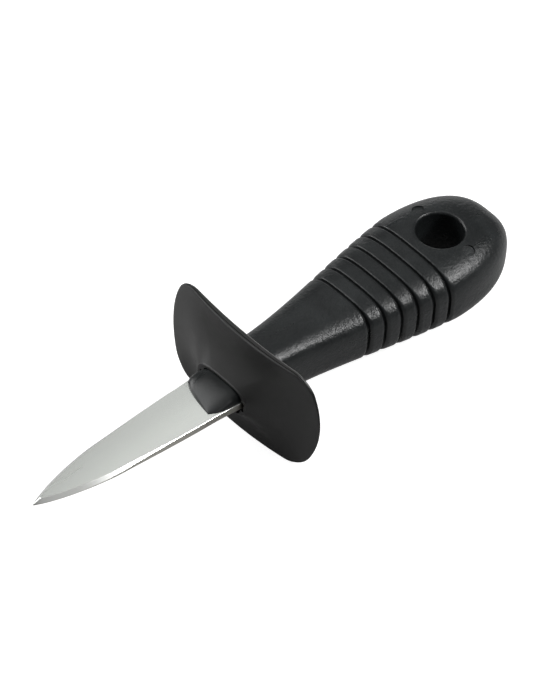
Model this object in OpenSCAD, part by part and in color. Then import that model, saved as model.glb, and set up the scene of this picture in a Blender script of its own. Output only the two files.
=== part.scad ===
// Shellfish knife with a moulded handle, a slip-on finger guard and a short lancet blade.
// The knife lies along X, tip at the low end, and the blade is flat in the XY plane.
// The origin is the middle of the hanging hole.

/* [Blade] */
// distance from the guard's plane, where all lengths start, to the tip
blade_len = 68.8; // [60:0.2:84]
// full width where the blade enters the guard
blade_w = 16.4; // [15.6:0.1:17]
// full width half way along the blade
blade_waist = 12.6; // [11:0.1:14.5]
// thickness of the steel
blade_t = 2.2; // [1.8:0.1:2.6]
// width of the ground bevel along each edge, beside the guard
bevel_w = 0.4; // [0.3:0.05:0.6]
// width of the bevel toward the tip, where the edge is sharp
tip_bevel_w = 0.95; // [0.7:0.05:1.2]
// height of the square edge left beside the guard
edge_t = 1.75; // [1.4:0.05:1.75]

/* [Tang] */
// length of the tang inside the handle
tang_len = 54; // [40:1:57]
// width of the tang
tang_w = 11; // [8:0.5:12.5]
// diameter of the two locking holes, which the handle fills
lock_hole_d = 4; // [2.5:0.5:5]

/* [Guard] */
// width of the guard across the knife
guard_w = 55.8; // [50:0.2:66]
// height of the guard
guard_h = 31.8; // [29:0.2:38]
// thickness of the plate in the middle
guard_t = 2.35; // [2:0.05:2.8]
// thickness of the plate at its two ends
guard_end_t = 0.75; // [0.6:0.05:1.4]
// how far the front of the plate stands ahead of the plane that the lengths start from
guard_ahead = 0.7; // [0.4:0.1:1]
// how far the middle of the plate sits above the blade
guard_rise = 1.3; // [0:0.1:2]
// radius of the sweep that carries both ends back toward the hand
guard_sweep_r = 107; // [90:1:140]
// corner radius of the plate outline
guard_corner_r = 4.4; // [2.5:0.1:5.5]
// bulge of the two ends beyond the straight edges
guard_bulge = 4.8; // [3:0.1:7]
// how far the mouth of the slot stands ahead of the plane that the lengths start from
collar_len = 5.2; // [4:0.1:6.4]

/* [Handle] */
// distance from the guard's plane to the end of the handle
handle_len = 91.2; // [88:0.2:104]
// widest part of the grip
grip_w = 33; // [30:0.5:36]
// greatest height of the grip
grip_h = 20.6; // [19:0.2:24]
// width of the neck behind the guard
neck_w = 15.2; // [15:0.1:17]
// height of the neck behind the guard
neck_h = 15.8; // [14:0.2:17]
// width of the nose that holds the blade
nose_w = 14; // [12.6:0.1:14.2]
// height of the nose inside the guard
nose_h = 7.2; // [6.6:0.1:8.4]
// how far the nose reaches in front of the guard's plane
nose_len = 14.3; // [12:0.1:16]
// how far the rounded end of the nose leans to one side
nose_lean = 2.6; // [0:0.1:3]

/* [Grooves] */
// number of grooves round the grip
groove_count = 6; // [3:1:7]
// distance from one groove to the next
groove_pitch = 4.95; // [4.4:0.05:5.4]
// width of a groove
groove_w = 1.2; // [0.8:0.1:1.6]
// depth of a groove
groove_d = 0.7; // [0.4:0.05:0.9]

/* [Hanging hole] */
// diameter of the hanging hole
hang_d = 12.9; // [10:0.1:14]
// distance from the hole's centre to the end of the handle
hang_back = 20.1; // [18:0.1:23]
// width of the eased lip at both mouths of the hole
lip_w = 0.9; // [0.5:0.1:1.2]

/* [Hidden] */
// height of the edge at the tip
tip_edge_t = 0.16;
// play between the guard's slot and the blade
slot_play = 0.35;
// wall of the guard round the mouth of the slot
mouth_wall = 0.4;
// how far the guard's rim is rounded in
rim_ease = 0.4;
// step of the seat behind the plate, and how far it spreads round the neck
seat_step = 0.6;
seat_over = [2.2, 1.4];
// where the seat ends and the handle begins
seat_x = guard_t - guard_ahead + seat_step;
// the two ejector marks beside the hanging hole
mark_d = 3.4;
mark_gap = 3.3;
mark_shift = 1.2;
hang_x = handle_len - hang_back;
groove_x0 = 0.395 * handle_len;
// points round a rounded section, along half an end of the guard and along its straight edges
ring_n = 40;
end_n = 12;
edge_n = 10;
grip_power = 3.25;
nose_power = 5;

function mix(a, b, k) = a + (b - a) * k;
function clamp(k) = min(1, max(0, k));
function ease(k) = clamp(k) * clamp(k) * (3 - 2 * clamp(k));
// one point of a rounded section: half width a, half height b, squareness n
function sq(v, n) = sign(v) * pow(abs(v), 2 / n);
function rounded(a, b, n) = [for (i = [0:ring_n - 1]) let (w = 360 * (i + 0.5) / ring_n)
    [a * sq(cos(w), n), b * sq(sin(w), n)]];
function ring(x, a, b, n) = [for (p = rounded(a, b, n)) [x, p[0], p[1]]];

// skin over a list of equal rings, closed across the first and the last
module skin(rings) {
    n = len(rings[0]);
    m = len(rings);
    front = [for (i = [0:n - 1]) i];
    back = [for (i = [n - 1:-1:0]) i + (m - 1) * n];
    sides = [for (j = [0:m - 2], i = [0:n - 1]) let (k = (i + 1) % n, a = j * n, b = a + n)
        each [[a + i, b + k, a + k], [a + i, b + i, b + k]]];
    polyhedron([for (r = rings) each r], concat([front], sides, [back]), convexity = 8);
}

// blade
// half width of the blade at a share k of its length, guard to tip
function blade_half(k) =
    k < 0.25 ? mix(blade_w, mix(blade_waist, blade_w, 0.3), sin(k * 360)) / 2
    : k < 0.6 ? mix(mix(blade_waist, blade_w, 0.3), blade_waist * 0.93, (k - 0.25) / 0.35) / 2
    : blade_waist * 0.465 * pow(1 - pow((k - 0.6) / 0.4, 1.75), 0.85);
// height of the square edge left by the two bevels, which widen as it thins toward the tip
function edge_half(k) = mix(edge_t, tip_edge_t, ease((k - 0.32) / 0.54)) / 2;
function bevel_at(k) = mix(bevel_w, tip_bevel_w, ease((k - 0.42) / 0.34));
// where the blade is narrower than its two bevels they meet, and the steel thins to the tip
function blade_ring(k, x) = let (
    h = blade_half(k),
    g = max(h - bevel_at(k), 0.12 * h),
    e = edge_half(k),
    t = mix(e, blade_t / 2, (h - g) / bevel_at(k)))
    [[x, -h, -e], [x, -g, -t], [x, g, -t], [x, h, -e], [x, h, e], [x, g, t], [x, -g, t], [x, -h, e]];

module blade_body() {
    steps = [for (i = [0:18]) 0.96 * i / 18, 0.975, 0.987, 0.995];
    skin(concat(
        [for (i = [len(steps) - 1:-1:0]) blade_ring(steps[i], -steps[i] * blade_len)],
        [blade_ring(0, seat_x)]));
}

module tang() {
    crop = tang_w * 0.3;
    h = tang_w / 2;
    x1 = seat_x + tang_len;
    difference() {
        translate([0, 0, -blade_t / 2])
            linear_extrude(blade_t)
                polygon([[seat_x - 0.5, -h], [x1 - crop, -h], [x1, crop - h], [x1, h - crop], [x1 - crop, h],
                    [seat_x - 0.5, h]]);
        for (k = [0.36, 0.7])
            translate([seat_x + k * tang_len, 0, -blade_t])
                cylinder(d = lock_hole_d, h = 2 * blade_t, $fn = 48);
    }
}

module blade() {
    color([0.74, 0.75, 0.76])
        translate([-hang_x, 0, 0])
            union() {
                blade_body();
                tang();
            }
}

// handle
function grip_half(t) = let (s = pow(clamp((t - 0.09) / 0.62), 1.05), v = clamp((t - 0.7) / 0.3))
    mix(neck_w, grip_w, 0.6 * s + 0.4 * ease(s)) / 2 * pow(1 - pow(v, 2.4), 0.4545);
function grip_rise(t) = let (v = clamp((t - 0.7) / 0.3))
    mix(neck_h, grip_h, ease((t - 0.14) / 0.64)) / 2 * pow(1 - pow(v, 5.1), 0.4545);
function grip_ring(x, cut = 0) = ring(x, grip_half(x / handle_len) - cut, grip_rise(x / handle_len) - cut,
    grip_power);

// the nose: a full section through the guard, then a slope down to a thin lip on the blade
function nose_ring(k) = let (a = nose_w / 2 * pow(1 - pow(k, 4), 0.5),
    b = mix(blade_t / 2, nose_h / 2, pow(1 - k, 1.25) * 0.85 + 0.15))
    [for (p = rounded(a, b, mix(nose_power, 3.5, k)))
        [-mix(collar_len, nose_len, k), p[0] - nose_lean * pow(k, 4), p[1]]];
nose_steps = [0.996, 0.98, 0.94, 0.88, 0.8, 0.68, 0.52, 0.34, 0.16];

groove_steps = [[-0.5, 0], [-0.32, 0.7], [0, 1], [0.32, 0.7], [0.5, 0]];
groove_last = groove_x0 + (groove_count - 1) * groove_pitch;

module handle_body() {
    neck = [for (i = [0:7]) mix(seat_x, groove_x0 - groove_w, i / 7)];
    tail = [for (i = [1:12]) mix(groove_last + groove_w / 2, handle_len, sin(90 * i / 12.35))];
    skin(concat(
        [for (k = nose_steps) nose_ring(k)],
        [for (x = [-collar_len, seat_x]) ring(x, nose_w / 2, nose_h / 2, nose_power)],
        [for (x = neck) grip_ring(x)],
        [for (g = [0:groove_count - 1], s = groove_steps)
            grip_ring(groove_x0 + g * groove_pitch + s[0] * groove_w, s[1] * groove_d)],
        [for (x = tail) grip_ring(x)]));
}

// the hanging hole with an eased lip at each mouth
module hang_cutter() {
    r = hang_d / 2;
    top = grip_rise(hang_x / handle_len) * 0.99;
    cylinder(r = r, h = 2 * grip_h, center = true, $fn = 96);
    for (m = [0, 1])
        mirror([0, 0, m])
            rotate_extrude($fn = 96)
                polygon([[0, top + 3], [r + lip_w * 2.2, top + 3], [r + lip_w, top],
                    [r + lip_w * 0.4, top - lip_w * 0.3], [r + lip_w * 0.1, top - lip_w * 0.7],
                    [r, top - lip_w * 1.2], [0, top - lip_w * 1.2]]);
}

module handle() {
    color([0.16, 0.16, 0.17])
        translate([-hang_x, 0, 0])
            difference() {
                handle_body();
                translate([-nose_len - 1, -blade_w, -blade_t / 2])
                    cube([nose_len + 1 + seat_x, 2 * blade_w, blade_t]);
                tang();
                translate([hang_x, 0, 0])
                    hang_cutter();
                // two round ejector marks beside the hole
                for (y = [-1, 1] * (hang_d / 2 + mark_gap))
                    translate([hang_x + mark_shift, y, grip_rise(hang_x / handle_len) * 0.925])
                        cylinder(d = mark_d, h = 3, $fn = 48);
            }
}

// guard
// the front face is swept back toward both ends, and the plate thins toward them
function face_x(y) = guard_sweep_r - sqrt(guard_sweep_r * guard_sweep_r - y * y) - guard_ahead;
function plate_x(y, depth) = face_x(y) + depth * mix(guard_t, guard_end_t, pow(2 * y / guard_w, 2));

// the plate's outline: straight above and below, bulged at both ends, with round corners
function end_y(z, inset) = let (h = guard_h / 2 - inset, c = guard_corner_r, d = max(0, c - h + abs(z)))
    guard_w / 2 - inset - guard_bulge * pow(abs(z) / h, 2.05) - c + sqrt(max(0, c * c - d * d));
function outline(inset) =
    let (
        h = guard_h / 2 - inset,
        w = end_y(h, inset),
        z = [for (i = [-end_n:end_n]) h * sin(90 * i / end_n)]
    )
    [for (p = concat(
        [for (i = [0:2 * end_n]) [end_y(z[i], inset), z[i]]],
        [for (i = [edge_n - 1:-1:1]) [mix(-w, w, i / edge_n), h]],
        [for (i = [2 * end_n:-1:0]) [-end_y(z[i], inset), z[i]]],
        [for (i = [1:edge_n - 1]) [mix(-w, w, i / edge_n), -h]]))
        [p[0], p[1] + guard_rise]];

// an oval round the slot with one point for each point of the outline
function oval(a, b, n) = [for (p = outline(0)) let (w = atan2(p[1], p[0]),
    r = pow(pow(abs(cos(w) / a), n) + pow(abs(sin(w) / b), n), -1 / n)) [r * cos(w), r * sin(w)]];

slot_w = blade_w + 2 * slot_play;
mouth = [slot_w / 2, nose_h / 2] + [mouth_wall, mouth_wall];
seat = [neck_w / 2, neck_h / 2] + seat_over;

// the front swells forward from the plate's rim to the mouth of the slot; k is 0 at the mouth, 1 at the rim
function front_ring(k) = let (a = oval(mouth[0] + 0.4, mouth[1] + 0.4, 3), b = outline(rim_ease))
    [for (i = [0:len(a) - 1]) let (p = mix(a[i], b[i], k))
        [mix(plate_x(p[0], 0), 0.3 - collar_len, pow(1 - k, 3)), p[0], p[1]]];
function rim_ring(depth, inset) = [for (p = outline(inset)) [plate_x(p[0], depth), p[0], p[1]]];
function back_ring(k) = let (a = oval(seat[0] + 0.6, seat[1] + 0.6, 3.5), b = outline(rim_ease))
    [for (i = [0:len(a) - 1]) let (p = mix(a[i], b[i], k)) [plate_x(p[0], 1), p[0], p[1]]];
function flat_ring(x, size, n) = [for (p = oval(size[0], size[1], n)) [x, p[0], p[1]]];

module guard_body() {
    skin(concat(
        [flat_ring(-collar_len, mouth, 3), flat_ring(0.1 - collar_len, mouth + [0.25, 0.25], 3)],
        [for (k = [0, 0.05, 0.12, 0.2, 0.3, 0.42, 0.56, 0.72, 0.87, 1]) front_ring(k)],
        [rim_ring(0.1, rim_ease * 0.3), rim_ring(0.3, 0), rim_ring(0.7, 0), rim_ring(0.9, rim_ease * 0.3)],
        [for (k = [1, 0.75, 0.5, 0.25, 0]) back_ring(k)],
        [flat_ring(seat_x, seat, 4)]));
}

module guard() {
    color([0.14, 0.14, 0.15])
        translate([-hang_x, 0, 0])
            difference() {
                guard_body();
                translate([-collar_len - 1, 0, 0])
                    rotate([90, 0, 90])
                        linear_extrude(collar_len + seat_x + 2)
                            polygon(rounded(nose_w / 2, nose_h / 2, nose_power));
                translate([-collar_len - 1, -slot_w / 2, -blade_t / 2 - slot_play])
                    cube([collar_len + seat_x + 2, slot_w, blade_t + 2 * slot_play]);
            }
}

blade();
handle();
guard();
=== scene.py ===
import bpy
import bmesh
import math
from mathutils import Matrix, Vector


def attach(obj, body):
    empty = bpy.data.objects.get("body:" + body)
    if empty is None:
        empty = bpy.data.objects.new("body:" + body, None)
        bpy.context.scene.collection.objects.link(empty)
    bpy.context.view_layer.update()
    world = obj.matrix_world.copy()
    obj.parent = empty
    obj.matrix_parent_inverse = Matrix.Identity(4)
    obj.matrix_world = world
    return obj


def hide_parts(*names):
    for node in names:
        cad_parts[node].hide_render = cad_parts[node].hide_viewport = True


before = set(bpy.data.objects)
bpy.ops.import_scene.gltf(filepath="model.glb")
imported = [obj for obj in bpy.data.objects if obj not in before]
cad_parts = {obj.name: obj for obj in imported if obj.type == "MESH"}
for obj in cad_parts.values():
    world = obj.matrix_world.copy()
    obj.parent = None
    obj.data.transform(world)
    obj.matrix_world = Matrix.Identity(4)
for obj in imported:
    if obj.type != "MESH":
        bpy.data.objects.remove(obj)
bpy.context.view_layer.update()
scene = bpy.context.scene
scene.view_settings.view_transform = "Standard"
mm = 0.001


# helpers for the meshes
def mix(a, b, k):
    return a + (b - a) * k


def clamp(k):
    return min(1.0, max(0.0, k))


def ease(k):
    k = clamp(k)
    return k * k * (3 - 2 * k)


# a squared oval: half width a, half height b, power n, at the polar angle w
def ovalAt(a, b, n, w):
    c, s = math.cos(w), math.sin(w)
    r = (abs(c / a) ** n + abs(s / b) ** n) ** (-1 / n)
    return r * c, r * s


# the same oval with its points spread evenly along the rounded corners
def ovalPoint(a, b, n, k):
    w = math.tau * k
    c, s = math.cos(w), math.sin(w)
    return a * math.copysign(abs(c) ** (2 / n), c), b * math.copysign(abs(s) ** (2 / n), s)


# a grid bent into a closed skin: place(ring, point) gives each vertex, millimetres from the guard's face
def bentGrid(ringCount, pointCount, place, frontX):
    bm = bmesh.new()
    bmesh.ops.create_grid(bm, x_segments=ringCount - 1, y_segments=pointCount, size=1)
    for v in bm.verts:
        ring = round((v.co.x + 1) / 2 * (ringCount - 1))
        point = round((v.co.y + 1) / 2 * pointCount) % pointCount
        x, y, z = place(ring, point)
        v.co = Vector((x * mm + frontX, y * mm, z * mm))
    bmesh.ops.remove_doubles(bm, verts=bm.verts, dist=2e-7)
    bmesh.ops.dissolve_degenerate(bm, edges=bm.edges, dist=1e-7)
    bmesh.ops.recalc_face_normals(bm, faces=bm.faces)
    return bm


def newPiece(name, bm):
    mesh = bpy.data.meshes.new(name)
    bm.to_mesh(mesh)
    bm.free()
    piece = bpy.data.objects.new(name, mesh)
    scene.collection.objects.link(piece)
    return piece


# cuts every cutter out of the piece and removes the cutters
def cutAway(piece, cutters):
    for cutter in cutters:
        cut = piece.modifiers.new("cut", "BOOLEAN")
        cut.operation = "DIFFERENCE"
        cut.solver = "EXACT"
        cut.object = cutter
    bpy.context.view_layer.update()
    shaped = bpy.data.meshes.new_from_object(piece.evaluated_get(bpy.context.evaluated_depsgraph_get()))
    piece.modifiers.clear()
    piece.data = shaped
    for cutter in cutters:
        bpy.data.objects.remove(cutter)


def finishPiece(piece, node, material, sharp):
    bm = bmesh.new()
    bm.from_mesh(piece.data)
    bmesh.ops.remove_doubles(bm, verts=bm.verts, dist=2e-6)
    between = [v for v in bm.verts if len(v.link_edges) == 2]  # left along a cut, on no corner
    bmesh.ops.dissolve_verts(bm, verts=between)
    bm.to_mesh(piece.data)
    bm.free()
    piece.data.materials.clear()
    piece.data.materials.append(material)
    piece.data.shade_smooth()
    piece.data.set_sharp_from_angle(angle=math.radians(sharp))
    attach(piece, "root")
    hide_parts(node)
    print("made", piece.name, len(piece.data.polygons), "faces")


# shader maths: plain arithmetic on a wrapped socket adds Math nodes
class Signal:
    def __init__(self, tree, socket=None):
        self.tree = tree
        self.socket = socket

    # any node: its settings first, then its sockets
    def make(self, kind, settings=None, inputs=None, out=0):
        node = self.tree.nodes.new("ShaderNode" + kind)
        for key, value in (settings or {}).items():
            setattr(node, key, value)
        for key, value in (inputs or {}).items():
            self.plug(node.inputs[key], value)
        return Signal(self.tree, node.outputs[out])

    def plug(self, target, value):
        if isinstance(value, Signal):
            self.tree.links.new(value.socket, target)
        else:
            target.default_value = value

    def math(self, operation, first, second=0.0):
        return self.make("Math", {"operation": operation}, {0: first, 1: second})

    def __add__(self, other):
        return self.math("ADD", self, other)

    def __mul__(self, other):
        return self.math("MULTIPLY", self, other)

    def __sub__(self, other):
        return self.math("SUBTRACT", self, other)

    def __rsub__(self, other):
        return self.math("SUBTRACT", other, self)

    def __pow__(self, other):
        return self.math("POWER", self, other)

    def __abs__(self):
        return self.math("ABSOLUTE", self)

    __radd__ = __add__
    __rmul__ = __mul__

    # 0 below low, 1 above high, eased between
    def step(self, low, high):
        return self.make("MapRange", {"interpolation_type": "SMOOTHSTEP"},
                         {"Value": self, "From Min": low, "From Max": high})

    def noise(self, scale, stretch=(1, 1, 1), turn=(0, 0, 0), detail=3.0, rough=0.55):
        place = self.make("Mapping", None, {"Vector": self, "Scale": stretch, "Rotation": turn})
        return self.make("TexNoise", None, {"Vector": place, "Scale": scale, "Detail": detail,
                                            "Roughness": rough})

    # 1 for what the camera and glass see, and a share of it for what shines in metal and plastic
    def seen(self, mirrored):
        direct, glossy, through = (self.make("LightPath", out="Is %s Ray" % kind)
                                   for kind in ("Camera", "Glossy", "Transmission"))
        return self.math("MINIMUM", direct + glossy * mirrored + through, 1.0)

    # one of a place's X, Y and Z
    def part(self, axis):
        return self.make("SeparateXYZ", None, {0: self}, out="XYZ".index(axis))

    # from one colour to another, by this signal
    def blend(self, low, high):
        return self.make("Mix", {"data_type": "RGBA"}, {0: self, 6: low, 7: high}, out=2)


# a material with its place on the object, its principled shader and its output
def newMaterial(name, constants):
    material = bpy.data.materials.new(name)
    material.use_nodes = True
    tree = material.node_tree
    shader = next(n for n in tree.nodes if n.type == "BSDF_PRINCIPLED")
    for key, value in constants.items():
        shader.inputs[key].default_value = value
    place = Signal(tree).make("TexCoord", out=3)
    return material, shader, place


# the camera, fitted to the photograph
shot = dict(
    target=(-59.835, 0, 0),  # the point the camera looks past, mm
    azimuth=45.834,  # the turn of the knife under the camera, degrees
    elevation=46.069,
    roll=-5.071,
    distance=1400,
    pixelsPerMm=3.883,  # at the target
    offCentre=(-1.35, 10.54),  # where the target lands from the middle of the 540 x 700 frame, pixels
)
turn = Matrix.Rotation(math.radians(shot["azimuth"]), 3, "Z")
tip = Matrix.Rotation(math.radians(shot["elevation"] - 90), 3, "X")
spin = Matrix.Rotation(math.radians(shot["roll"]), 3, "Z")
toCamera = spin @ tip @ turn  # rows are the camera's right, up and back
cameraTurn = toCamera.transposed()
right, up, back = (cameraTurn.col[i] for i in range(3))
scale = shot["pixelsPerMm"]
eye = (Vector(shot["target"]) + back * shot["distance"]
       - right * (shot["offCentre"][0] / scale) + up * (shot["offCentre"][1] / scale)) * mm
cameraData = bpy.data.cameras.new("camera")
cameraData.sensor_width = 36
cameraData.lens = scale * shot["distance"] / 700 * 36  # the long side of the frame is 700 pixels
cameraData.clip_start = 0.05
cameraData.clip_end = 20
camera = bpy.data.objects.new("camera", cameraData)
camera.matrix_world = Matrix.Translation(eye) @ cameraTurn.to_4x4()
scene.collection.objects.link(camera)
scene.camera = camera
print("camera at", [round(c, 3) for c in eye], "lens", round(cameraData.lens, 1))


# painted highlight along the top and bottom of the guard plate's back edge, which bends with y
def rimHighlight(place, rim):
    x, y, z = (place.part(axis) for axis in "XYZ")
    behind = x - (y * y * rim["bend"] + rim["backX"])
    outside = abs(z - rim["middleZ"])
    return behind.step(-rim["wide"], -rim["wide"] * 0.5) * outside.step(rim["inner"], rim["outer"])


def blackPlastic(name, look):
    material, shader, place = newMaterial(name, look["constants"])
    cloudy = place.noise(look["cloudScale"], detail=2)
    grain = place.noise(look["grainScale"], detail=2)
    streak = place.noise(look["streakScale"], stretch=look["streakStretch"],
                         turn=look["streakTurn"], detail=4)
    rubbed = streak.step(0.56, 0.74)
    tone = cloudy.step(0.3, 0.7) * 0.7 + rubbed * look["rub"]
    colour = tone.blend(look["dark"], look["light"])
    if "rim" in look:
        # a pale painted highlight on the guard plate's back edge
        colour = rimHighlight(place, look["rim"]).blend(colour, look["rimHighlightColour"])
    shader.inputs["Roughness"].default_value = look["roughness"]
    base = look["roughness"] - look["roughSpread"] / 2
    roughness = cloudy * look["roughSpread"] + base - rubbed * look["polish"]
    colour.plug(shader.inputs["Base Color"], colour)
    colour.plug(shader.inputs["Roughness"], roughness + grain * 0.06)
    wave = place.noise(look["waveScale"], detail=2)
    height = grain * look["grain"] + wave * look["wave"] + rubbed * 0.2
    if "smoothFront" in look:
        height = height * (place.part("X").step(*look["smoothFront"]) * 0.85 + 0.15)
    bump = grain.make("Bump", None, {
        "Strength": look["bump"], "Distance": look["grainDepth"], "Height": height})
    bump.plug(shader.inputs["Normal"], bump)
    return material


def satinSteel(name, look):
    material, shader, place = newMaterial(name, look["constants"])
    brushed = place.noise(look["brushScale"], stretch=look["brushStretch"], detail=5, rough=0.65)
    cloudy = place.noise(look["cloudScale"], detail=3)
    scratch = place.noise(look["scratchScale"], stretch=look["scratchStretch"],
                          turn=look["scratchTurn"], detail=1)
    scored = scratch.step(0.70, 0.76)
    facing = Signal(place.tree, place.socket.node.outputs["Normal"])
    sideways = abs(facing.part("Y"))  # 0 on the flats, 1 on the square edges
    bevelled = sideways.step(0.12, 0.3)
    edgeReflection = sideways.step(0.75, 0.95)
    # painted highlight: the near half of the blade is lighter
    nearSheen = 1 - place.part("Y").step(*look["sheenAcross"])
    colour = (brushed * 0.1 + cloudy * 0.3 + nearSheen * 0.6).blend(look["dark"], look["light"])
    shade = place.part("X").step(*look["shadeAlong"]) * (1 - place.part("Y").step(*look["shadeAcross"]))
    # the square edges get a dark painted reflection
    colour = edgeReflection.blend(bevelled.blend(colour, look["bevel"]), look["edge"])
    colour = shade.blend(colour, look["shade"])
    roughness = brushed * look["roughSpread"] + cloudy * 0.05 + (look["roughness"] - look["roughSpread"] / 2)
    colour.plug(shader.inputs["Base Color"], colour)
    colour.plug(shader.inputs["Roughness"], roughness + scored * 0.08 + bevelled * look["bevelRough"])
    bump = brushed.make("Bump", None, {"Strength": look["bump"], "Distance": look["brushDepth"],
                                       "Height": brushed - scored * 0.5})
    bump.plug(shader.inputs["Normal"], bump)
    return material


# sizes shared by the pieces, millimetres; x runs from the guard's front face to the end of the handle
knife = dict(
    handleLength=91.2,
    holeBack=20.1,  # from the hole's centre to the end
    seat=2.25,  # where the handle begins behind the guard
    bladeThick=2.2,
    noseWide=14.0,
    noseHigh=7.2,
    collarOut=5.2,
)
guardX = -(knife["handleLength"] - knife["holeBack"]) * mm

# the three finishes; scales are per metre, and places are in metres
handleLook = dict(
    constants={"Specular IOR Level": 0.34, "IOR": 1.49},
    dark=(0.007, 0.0082, 0.0085, 1), light=(0.013, 0.015, 0.0155, 1),
    waveScale=1000, wave=1.9, smoothFront=(-0.0765, -0.0725),
    roughness=0.28, roughSpread=0.13, polish=0.08, rub=0.35,
    cloudScale=160, grainScale=2600, streakScale=260, streakStretch=(0.12, 1, 1), streakTurn=(0, 0, 0.5),
    bump=1.0, grain=0.9, grainDepth=0.00006,
)
guardLook = dict(
    constants={"Specular IOR Level": 0.4, "IOR": 1.49},
    dark=(0.011, 0.011, 0.011, 1), light=(0.016, 0.016, 0.0158, 1),
    waveScale=120, wave=0.3,
    roughness=0.44, roughSpread=0.06, polish=0.04, rub=0.2,
    # the colour of the pale painted highlight on the plate's back edge
    rimHighlightColour=(0.09, 0.09, 0.088, 1),
    rim=dict(  # the plate's back edge: x in the middle, how fast it bends back, and where the painted highlight begins
        backX=guardX + 0.00165, bend=2.6, middleZ=0.0013, wide=0.0006, inner=0.0150, outer=0.0155),
    cloudScale=50, grainScale=3200, streakScale=200, streakStretch=(1, 0.3, 1), streakTurn=(0.4, 0, 0),
    bump=0.3, grain=0.6, grainDepth=0.00005,
)
bladeLook = dict(
    constants={"Metallic": 1.0},
    dark=(0.56, 0.58, 0.555, 1), light=(0.79, 0.815, 0.775, 1),
    # edge is the dark painted reflection on the square edges
    bevel=(0.70, 0.705, 0.685, 1), bevelRough=0.05, edge=(0.45, 0.44, 0.40, 1),
    shade=(0.12, 0.115, 0.10, 1), shadeAlong=(-0.0822, -0.0808), shadeAcross=(-0.0083, -0.0075),
    # where across the blade the painted highlight on the near half fades out
    sheenAcross=(-0.006, 0.006),
    roughness=0.22, roughSpread=0.03,
    brushScale=900, brushStretch=(0.05, 1, 1), brushDepth=0.00001, bump=0.05,
    cloudScale=70, scratchScale=500, scratchStretch=(0.04, 1, 1), scratchTurn=(0, 0, 0.25),
)
handlePlastic = blackPlastic("mouldedHandle", handleLook)
guardPlastic = blackPlastic("mouldedGuard", guardLook)
bladeSteel = satinSteel("satinSteel", bladeLook)
print("materials ready")

# blade
blade = dict(
    length=68.55,
    wide=16.4,  # at the guard
    waist=12.6,  # half way along
    bevel=0.16,
    tipBevel=0.95,
    edge=1.92,  # height of the square edge beside the guard
    tipEdge=0.16,
    edgeFrom=0.3,  # share of the length where the bevel starts to grow and the square edge to thin
    bevelOver=0.45,
    edgeOver=0.55,
    shoulderAt=0.25,  # share of the length where the shoulder ends
    pointAt=0.6,  # share where the point begins, and its width there as a share of the waist
    pointWide=0.93,
    tipAt=0.9985,
    tang=54.0,
    tangWide=11.0,
    tangCrop=0.3,  # the tang's cropped corners, as a share of its width
    tangHole=4.0,
    tangHoles=(0.36, 0.7),  # shares of the tang's length
    stations=72,
    soften=0.09,
)


def bladeHalf(k):
    shoulder = mix(blade["waist"], blade["wide"], 0.3)
    pointWide = blade["waist"] * blade["pointWide"]
    start, pointAt = blade["shoulderAt"], blade["pointAt"]
    if k < start:
        return mix(blade["wide"], shoulder, math.sin(math.pi / 2 * k / start)) / 2
    if k < pointAt:
        return mix(shoulder, pointWide, (k - start) / (pointAt - start)) / 2
    return pointWide / 2 * (1 - ((k - pointAt) / (1 - pointAt)) ** 1.75) ** 0.85


# where the blade is narrower than its two bevels they meet, and the steel thins to the tip
def bladeSection(half, bevel, edgeHalf):
    flat = max(half - bevel, 0.12 * half)
    t = mix(edgeHalf, knife["bladeThick"] / 2, (half - flat) / bevel)
    return [(-half, -edgeHalf), (-flat, -t), (flat, -t), (half, -edgeHalf),
            (half, edgeHalf), (flat, t), (-flat, t), (-half, edgeHalf)]


def bladeStations():
    count = blade["stations"]
    for i in range(count + 1):
        k = blade["tipAt"] * (1 - (i / count) ** 1.15)
        past = k - blade["edgeFrom"]
        bevel = mix(blade["bevel"], blade["tipBevel"], ease(past / blade["bevelOver"]))
        edgeHalf = mix(blade["edge"], blade["tipEdge"], ease(past / blade["edgeOver"])) / 2
        yield -k * blade["length"], bladeSection(bladeHalf(k), bevel, edgeHalf)
    yield knife["seat"], bladeSection(blade["wide"] / 2, blade["bevel"], blade["edge"] / 2)
    crop = blade["tangWide"] * blade["tangCrop"]
    half = blade["tangWide"] / 2
    end = knife["seat"] + blade["tang"]
    for x, wide in ((knife["seat"], half), (end - crop, half), (end, half - crop)):
        yield x, bladeSection(wide, 0.02, knife["bladeThick"] / 2 - 0.01)


def tangHoleCutter(x):
    bm = bmesh.new()
    radius = blade["tangHole"] / 2 * mm
    bmesh.ops.create_cone(bm, cap_ends=True, segments=48, radius1=radius, radius2=radius, depth=6 * mm,
                          matrix=Matrix.Translation((x * mm + guardX, 0, 0)))
    return newPiece("tangHole", bm)


def makeBlade():
    stations = list(bladeStations())
    closed = [(stations[0][0], [(0, 0)] * 8)] + stations + [(stations[-1][0], [(0, 0)] * 8)]
    bm = bentGrid(len(closed), 8, lambda ring, point: (closed[ring][0], *closed[ring][1][point]), guardX)
    bm.normal_update()
    # the long edges in front of the tang are softened
    corners = [e for e in bm.edges if len(e.link_faces) == 2 and e.calc_face_angle() > math.radians(14)
               and min(v.co.x for v in e.verts) > guardX - 0.99 * blade["length"] * mm
               and max(v.co.x for v in e.verts) < guardX + knife["seat"] * mm + 1e-6]
    bmesh.ops.bevel(bm, geom=corners, offset=blade["soften"] * mm, offset_type="OFFSET", affect="EDGES",
                    segments=2, profile=0.5, material=-1, clamp_overlap=True)
    piece = newPiece("steelBlade", bm)
    cutAway(piece, [tangHoleCutter(knife["seat"] + k * blade["tang"]) for k in blade["tangHoles"]])
    finishPiece(piece, "blade", bladeSteel, 5)


makeBlade()

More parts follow.
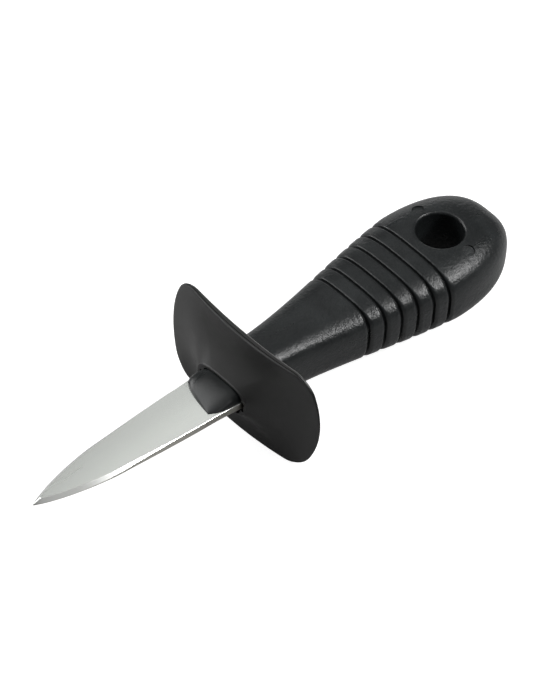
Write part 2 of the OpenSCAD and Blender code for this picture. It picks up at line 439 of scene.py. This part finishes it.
# handle
grip = dict(
    wide=33.0,
    high=20.6,
    neckWide=15.2,
    neckHigh=15.8,
    endFrom=0.7,  # share of the length where the rounded end begins
    power=3.25,  # squareness of the section, and at the end
    endPower=3.0,
    nosePower=5,  # inside the guard, and where it shows
    noseSoft=3.4,
    noseLength=14.3,
    noseLean=5.0,  # the nose's end lies this far to one side
    grooves=6,
    groovePitch=4.95,
    grooveWide=1.2,
    grooveDeep=0.7,
    grooveEase=0.15,  # the shoulders' width on the flat top, and on the sides
    sideEase=0.5,
    topWorn=0.13,  # how far those shoulders are worn down
    sideWorn=0.4,
    grooveWall=0.12,
    firstGroove=0.395,  # share of the handle's length
    holeWide=12.9,
    holeLip=0.9,
    markWide=3.4,  # the two ejector marks beside the hole
    markGap=3.3,  # from the hole's edge
    markShift=1.2,  # toward the end
    markDeep=0.42,
    markSlope=14,  # slope of the grip's top under the marks, degrees
    markLean=1,
    around=144,
)


def gripHalf(t):
    s = clamp((t - 0.09) / 0.62) ** 1.05
    v = clamp((t - grip["endFrom"]) / (1 - grip["endFrom"]))
    return mix(grip["neckWide"], grip["wide"], 0.6 * s + 0.4 * ease(s)) / 2 * (1 - v ** 2.4) ** 0.4545


def gripRise(t):
    v = clamp((t - grip["endFrom"]) / (1 - grip["endFrom"]))
    return mix(grip["neckHigh"], grip["high"], ease((t - 0.14) / 0.64)) / 2 * (1 - v ** 5.1) ** 0.4545


# depth of the grooves at x: a flat bottom and steep walls, with shoulders that widen toward the grip's sides
def grooveAt(x, side):
    first = grip["firstGroove"] * knife["handleLength"]
    n = min(grip["grooves"] - 1, max(0, round((x - first) / grip["groovePitch"])))
    off = abs(x - first - n * grip["groovePitch"])
    floorHalf = grip["grooveWide"] / 2 - grip["grooveEase"]
    worn = mix(grip["topWorn"], grip["sideWorn"], side)
    if off <= floorHalf:
        return grip["grooveDeep"] * clamp((floorHalf - off) / grip["grooveWall"]) ** 0.5 + worn
    reach = 2 * mix(grip["grooveEase"], grip["sideEase"], side)
    return worn * clamp(1 - (off - floorHalf) / reach) ** 2.2


# the grip's section grows rounder over its end
def gripPower(t):
    return mix(grip["power"], grip["endPower"], ease((t - 0.72) / 0.28))


def handleStations():
    # each is x, half width, half height, power, sideways shift, and whether it is grooved
    out = []
    for i in range(29):
        k = 0.9985 * (1 - i / 28) ** 0.6  # 0 at the mouth, 1 at the nose's end
        farY = mix(knife["noseWide"] / 2 + 0.62 * ease(k / 0.2), -grip["noseLean"], k ** 5.4)
        nearY = -grip["noseLean"] - (knife["noseWide"] / 2 - grip["noseLean"]) * (1 - k ** 3) ** 0.6
        high = mix(knife["noseHigh"] / 2, knife["bladeThick"] / 2, k ** 1.7 * 0.94)
        out.append((-mix(knife["collarOut"], grip["noseLength"], k), (farY - nearY) / 2, high,
                    grip["noseSoft"], (farY + nearY) / 2, False))
    out.append((knife["seat"], knife["noseWide"] / 2, knife["noseHigh"] / 2, grip["nosePower"], 0, False))
    length = knife["handleLength"]
    first = grip["firstGroove"] * length
    last = first + (grip["grooves"] - 1) * grip["groovePitch"]
    xs = [mix(knife["seat"], first - 2, i / 30) for i in range(31)]
    steps = round((last - first + 4) / 0.05)
    for i in range(1, steps):
        x = first - 2 + 0.05 * i
        if grooveAt(x, 0) > 0 or i % 3 == 0 and grooveAt(x, 1) > 0 or i % 6 == 0:
            xs.append(x)
    xs += [mix(last + 2, length, math.sin(math.pi / 2 * i / 48.35)) for i in range(49)]
    for x in xs:
        out.append((x, gripHalf(x / length), gripRise(x / length), gripPower(x / length), 0, True))
    return out


def spunCutter(name, x, profile):
    bm = bmesh.new()
    verts = [bm.verts.new((x * mm + guardX + r * mm, 0, z * mm)) for r, z in profile]
    edges = [bm.edges.new(pair) for pair in zip(verts, verts[1:])]
    bmesh.ops.spin(bm, geom=verts + edges, cent=(x * mm + guardX, 0, 0), axis=(0, 0, 1), dvec=(0, 0, 0),
                   angle=math.tau, steps=128, use_merge=True)
    bmesh.ops.remove_doubles(bm, verts=bm.verts, dist=1e-7)
    bmesh.ops.recalc_face_normals(bm, faces=bm.faces)
    return newPiece(name, bm)


def holeProfile(top):
    r = grip["holeWide"] / 2
    lip = grip["holeLip"]
    arc = [(r + lip * (1 - math.cos(a)), top - lip * (1 - math.sin(a)))
           for a in [math.pi / 2 * i / 6 for i in range(7)]]
    upper = arc + [(r + lip * 1.6, top + 0.1), (r + lip * 3, top + 4), (0, top + 4)]
    return [(x, -z) for x, z in reversed(upper)] + upper


def slab(name, low, high):
    bm = bmesh.new()
    size = [(b - a) * mm for a, b in zip(low, high)]
    middle = [(a + b) / 2 * mm for a, b in zip(low, high)]
    place = Matrix.Translation((middle[0] + guardX, middle[1], middle[2])) @ Matrix.Diagonal((*size, 1))
    bmesh.ops.create_cube(bm, size=1, matrix=place)
    return newPiece(name, bm)


# a shallow round mark sunk square to the grip's curved top, a little deeper on its far side
def markCutter(x, y, side):
    t = x / knife["handleLength"]
    z = gripRise(t) * (1 - (abs(y) / gripHalf(t)) ** gripPower(t)) ** (1 / gripPower(t))
    bm = bmesh.new()
    lean = Matrix.Rotation(math.radians(grip["markLean"] - side * grip["markSlope"]), 4, "X")
    place = Matrix.Translation((x * mm + guardX, y * mm, z * mm)) @ lean
    bmesh.ops.create_cone(bm, cap_ends=True, segments=48, radius1=grip["markWide"] / 2 * mm,
                          radius2=grip["markWide"] / 2 * mm, depth=2 * mm,
                          matrix=place @ Matrix.Translation((0, 0, (1 - grip["markDeep"]) * mm)))
    return newPiece("mark", bm)


def makeHandle():
    rings = handleStations()
    rings.insert(0, (rings[0][0], 1e-4, 1e-4, 2, rings[0][4], False))
    rings.append((rings[-1][0], 1e-4, 1e-4, 2, 0, False))

    def place(ring, point):
        x, a, b, n, shift, grooved = rings[ring]
        k = (point + 0.5) / grip["around"]
        y, z = ovalPoint(a, b, n, k)
        if grooved:
            d = grooveAt(x, ease((abs(y) / a - 0.68) / 0.27))
            y, z = ovalPoint(a - d, b - d, n, k)
        return x, y + shift, z

    piece = newPiece("mouldedGrip", bentGrid(len(rings), grip["around"], place, guardX))
    # room for the blade and its tang, the hanging hole and the marks
    holeX = knife["handleLength"] - knife["holeBack"]
    rise = gripRise(holeX / knife["handleLength"])
    half = knife["bladeThick"] / 2
    cutters = [
        slab("slot", (-grip["noseLength"] - 1, -blade["wide"], -half), (knife["seat"], blade["wide"], half)),
        slab("tangRoom", (knife["seat"] - 0.5, -blade["tangWide"] / 2, -half),
             (knife["seat"] + blade["tang"], blade["tangWide"] / 2, half)),
        spunCutter("hole", holeX, holeProfile(rise * 0.99)),
    ]
    for side in (-1, 1):
        y = side * (grip["holeWide"] / 2 + grip["markGap"])
        cutters.append(markCutter(holeX + grip["markShift"], y, side))
    cutAway(piece, cutters)
    finishPiece(piece, "handle", handlePlastic, 38)


makeHandle()

# guard
guard = dict(
    wide=55.8,
    high=31.8,
    thick=2.35,  # in the middle
    endThick=0.75,  # at both ends
    ahead=0.7,  # the plate's front stands this far ahead of x = 0
    rise=1.3,  # the plate's middle above the blade
    sweep=107.0,
    corner=4.4,
    bulge=4.8,
    play=0.35,  # round the blade on the near side, and past its far edge
    farPlay=0.05,
    gap=0.24,  # the fine gap round the nose, at the mouth only
    gapDeep=1.2,
    mouthWall=0.4,
    mouthOut=0.4,  # the mouth's rounded lip spreads and falls by these
    mouthFall=0.3,
    seatOver=(2.2, 1.4),  # how far the seat spreads round the neck, across and up
    seatFlare=0.6,
    rimFront=0.35,  # rounding of the rim, and the share of the thickness that it takes
    frontShare=0.16,
    rimBack=0.6,
    backShare=0.35,
    # the sunk parting line: inset, and share of the thickness
    rimLine=[(0, 0.19), (0.2, 0.21), (0.2, 0.38), (0, 0.40)],
    endPoints=24,
    edgePoints=32,
    flareSteps=36,
)


# the front face is swept back toward both ends, and the plate thins toward them
def plateX(y, depth):
    face = guard["sweep"] - math.sqrt(guard["sweep"] ** 2 - y * y) - guard["ahead"]
    return face + depth * mix(guard["thick"], guard["endThick"], (2 * y / guard["wide"]) ** 2)


# the plate's outline, inset by a small distance, as points round it
def plateOutline(inset):
    h = guard["high"] / 2 - inset
    c = guard["corner"]

    def endAt(z):
        d = max(0, c - h + abs(z))
        return (guard["wide"] / 2 - inset - guard["bulge"] * (abs(z) / h) ** 2.05
                - c + math.sqrt(max(0, c * c - d * d)))

    n, m = guard["endPoints"], guard["edgePoints"]
    ends = [h * math.sin(math.pi / 2 * i / n) for i in range(-n, n + 1)]
    w = endAt(h)
    pts = [(endAt(z), z) for z in ends]
    pts += [(mix(w, -w, i / m), h) for i in range(1, m)]
    pts += [(-endAt(z), z) for z in reversed(ends)]
    pts += [(mix(-w, w, i / m), -h) for i in range(1, m)]
    return [(y, z + guard["rise"]) for y, z in pts]


def makeGuard():
    angles = [math.atan2(z, y) for y, z in plateOutline(0)]
    mouth = (blade["wide"] / 2 + guard["play"] + guard["mouthWall"],
             knife["noseHigh"] / 2 + guard["mouthWall"])
    seat = (grip["neckWide"] / 2 + guard["seatOver"][0], grip["neckHigh"] / 2 + guard["seatOver"][1])
    mouthX, seatX = -knife["collarOut"], knife["seat"]
    toPoint = -20  # shrinks an oval to a point, which closes the skin
    rings = []

    def oval(size, more, n):
        return [ovalAt(max(0.01, size[0] + more), max(0.01, size[1] + more), n, w) for w in angles]

    def flatRing(x, pts):
        rings.append([(x, y, z) for y, z in pts])

    def between(inner, rim, k, depth, swell):
        pts = [(mix(ay, by, k), mix(az, bz, k)) for (ay, az), (by, bz) in zip(inner, plateOutline(rim))]
        rings.append([(mix(plateX(y, depth), mouthX + guard["mouthFall"], swell), y, z) for y, z in pts])

    # the mouth of the slot, then the swell down to the plate's rim
    flatRing(mouthX, oval(mouth, toPoint, 3))
    for w in [math.pi / 2 * i / 5 for i in range(5)]:
        flatRing(mouthX + guard["mouthFall"] * (1 - math.cos(w)),
                 oval(mouth, guard["mouthOut"] * math.sin(w), 3))
    lip = oval(mouth, guard["mouthOut"], 3)
    steps = guard["flareSteps"]
    for k in [(i / steps) ** 1.3 for i in range(steps + 1)]:
        between(lip, guard["rimFront"], k, 0, (1 - k) ** 3)
    quarter = [math.pi / 2 * i / 6 for i in range(1, 7)]
    for w in quarter:
        between(lip, guard["rimFront"] * (1 - math.sin(w)), 1, guard["frontShare"] * (1 - math.cos(w)), 0)
    for inset, depth in guard["rimLine"]:
        between(lip, inset, 1, depth, 0)
    for w in reversed([0] + quarter):
        between(lip, guard["rimBack"] * (1 - math.sin(w)), 1, 1 - guard["backShare"] * (1 - math.cos(w)), 0)
    # the flat back and the seat for the neck
    for k in [i / 16 for i in range(15, -1, -1)]:
        between(oval(seat, guard["seatFlare"], 3.5), guard["rimBack"], k, 1, 0)
    flatRing(seatX - 0.15, oval(seat, 0.1, 4))
    flatRing(seatX, oval(seat, 0, 4))
    flatRing(seatX, oval(seat, toPoint, 4))
    skin = bentGrid(len(rings), len(angles), lambda ring, point: rings[ring][point], guardX)
    piece = newPiece("fingerGuard", skin)

    # a straight cutter with the given outline, closed at both ends
    def plug(name, outline, low, high):
        bm = bentGrid(4, len(outline), lambda ring, point: ((low, low, high, high)[ring],
                      *((0, 0) if ring in (0, 3) else outline[point])), guardX)
        return newPiece(name, bm)

    nose = [ovalPoint(knife["noseWide"] / 2, knife["noseHigh"] / 2, grip["nosePower"],
                      (i + 0.5) / grip["around"]) for i in range(grip["around"])]
    front, rear = mouthX - 1, seatX + 1
    # the fine gap shows over the nose and on its near side only
    spread = 1 + guard["gap"] / (knife["noseHigh"] / 2)
    gapRing = [(y * (spread if y < 0 else 0.8), z * spread) for y, z in nose]
    wide = blade["wide"] / 2
    half = knife["bladeThick"] / 2
    cutAway(piece, [plug("noseHole", nose, front, rear),
                    plug("noseGap", gapRing, front, mouthX + guard["gapDeep"]),
                    slab("nearSlot", (front, -wide - guard["play"], -half - guard["play"]),
                         (rear, -wide / 2, half + guard["play"])),
                    slab("farSlot", (front, -wide, -half), (rear, wide + guard["farPlay"], half + 0.01))])
    finishPiece(piece, "guard", guardPlastic, 40)


makeGuard()

# floor, tilted so that the knife lies on the guard's lower edge and the end of the grip
floor = dict(
    guardFoot=(-70.6, -14.6),  # x and z of the guard's lowest edge, mm
    gripFoot=(3.5, -10.28),  # and of the grip's underside
    clear=0.00005,  # how far below those two it lies, metres
    size=8.0,
    colour=(0.45, 0.45, 0.45, 1),
    lift=0.88,  # glow that keeps the floor white round the knife, full white from near to far, metres
    near=0.3,
    far=0.9,
    mirrored=0.05,  # share of the glow that shows in glossy surfaces
)
(x0, z0), (x1, z1) = floor["guardFoot"], floor["gripFoot"]
slope = math.atan2(z1 - z0, x1 - x0)
floorBm = bmesh.new()
floorPlace = (Matrix.Translation((x0 * mm, 0, z0 * mm - floor["clear"])) @ Matrix.Rotation(-slope, 4, "Y")
              @ Matrix.Scale(floor["size"], 4))
bmesh.ops.create_grid(floorBm, x_segments=1, y_segments=1, size=0.5, matrix=floorPlace)
floorPiece = newPiece("floor", floorBm)
floorMaterial, floorShader, floorCoords = newMaterial(
    "paleFloor", {"Roughness": 0.9, "Specular IOR Level": 0.1})
far = (floorCoords.part("X") ** 2 + floorCoords.part("Y") ** 2).step(floor["near"] ** 2, floor["far"] ** 2)
lift = floorCoords.seen(floor["mirrored"]) * (far * (1 - floor["lift"]) + floor["lift"])
glow = lift.blend((0, 0, 0, 1), (1, 1, 1, 1))
glow.plug(floorShader.inputs["Base Color"], floor["colour"])
glow.plug(floorShader.inputs["Emission Color"], glow)
floorShader.inputs["Emission Strength"].default_value = 1.0
floorPiece.data.materials.append(floorMaterial)
print("floor slope", round(math.degrees(slope), 2))

# soft boxes round the knife: turn and rise are their bearings in degrees, size in metres, power in watts
lamps = dict(
    left=dict(turn=108, rise=27, size=(0.5, 0.4), power=3.6),
    frontLeft=dict(turn=128, rise=4, size=(0.5, 0.3), power=1.8),
    overLeft=dict(turn=90, rise=66, size=(0.4, 0.4), power=0.8),
    overhead=dict(turn=0, rise=88, size=(0.6, 0.6), power=0.95),
    overFront=dict(turn=116, rise=55, size=(0.4, 0.4), power=2.2),
    blade=dict(turn=47, rise=46, size=(0.18, 0.18), power=0.12),
    bladeEnd=dict(turn=30, rise=46, size=(0.3, 0.3), power=0.02),
    bevel=dict(turn=-5, rise=60, size=(0.2, 0.2), power=0.12),
    farRim=dict(turn=48, rise=8, size=(0.5, 0.16), power=0.4),
    shoulder=dict(turn=-48, rise=42, size=(0.26, 0.18), power=4.8),
    shoulderEnd=dict(turn=-32, rise=52, size=(0.26, 0.2), power=2.3),
    near=dict(turn=-92, rise=44, size=(0.4, 0.3), power=0.45),
)
lampDistance = 0.9
aim = Vector((-0.06, 0, 0))  # the middle of the knife
for name, lamp in lamps.items():
    data = bpy.data.lights.new(name, "AREA")
    data.shape = "RECTANGLE"
    data.size, data.size_y = lamp["size"]
    data.energy = lamp["power"]
    light = bpy.data.objects.new(name, data)
    turned = Matrix.Rotation(math.radians(lamp["turn"]), 3, "Z")
    away = (turned @ Matrix.Rotation(-math.radians(lamp["rise"]), 3, "Y")).col[0]
    light.matrix_world = (Matrix.Translation(aim + away * lampDistance)
                          @ away.to_track_quat("Z", "Y").to_matrix().to_4x4())
    scene.collection.objects.link(light)

world = bpy.data.worlds.new("studio")
world.use_nodes = True
scene.world = world
background = next(n for n in world.node_tree.nodes if n.type == "BACKGROUND")
# light that the room gives, brightness behind the knife, and the share of it in glossy surfaces
room = dict(fill=0.05, seen=1.0, mirrored=0.12)
sky = Signal(world.node_tree).seen(room["mirrored"]) * (room["seen"] - room["fill"]) + room["fill"]
sky.plug(background.inputs["Strength"], sky)
background.inputs["Color"].default_value = (1, 1, 1, 1)
print("lamps and world ready")
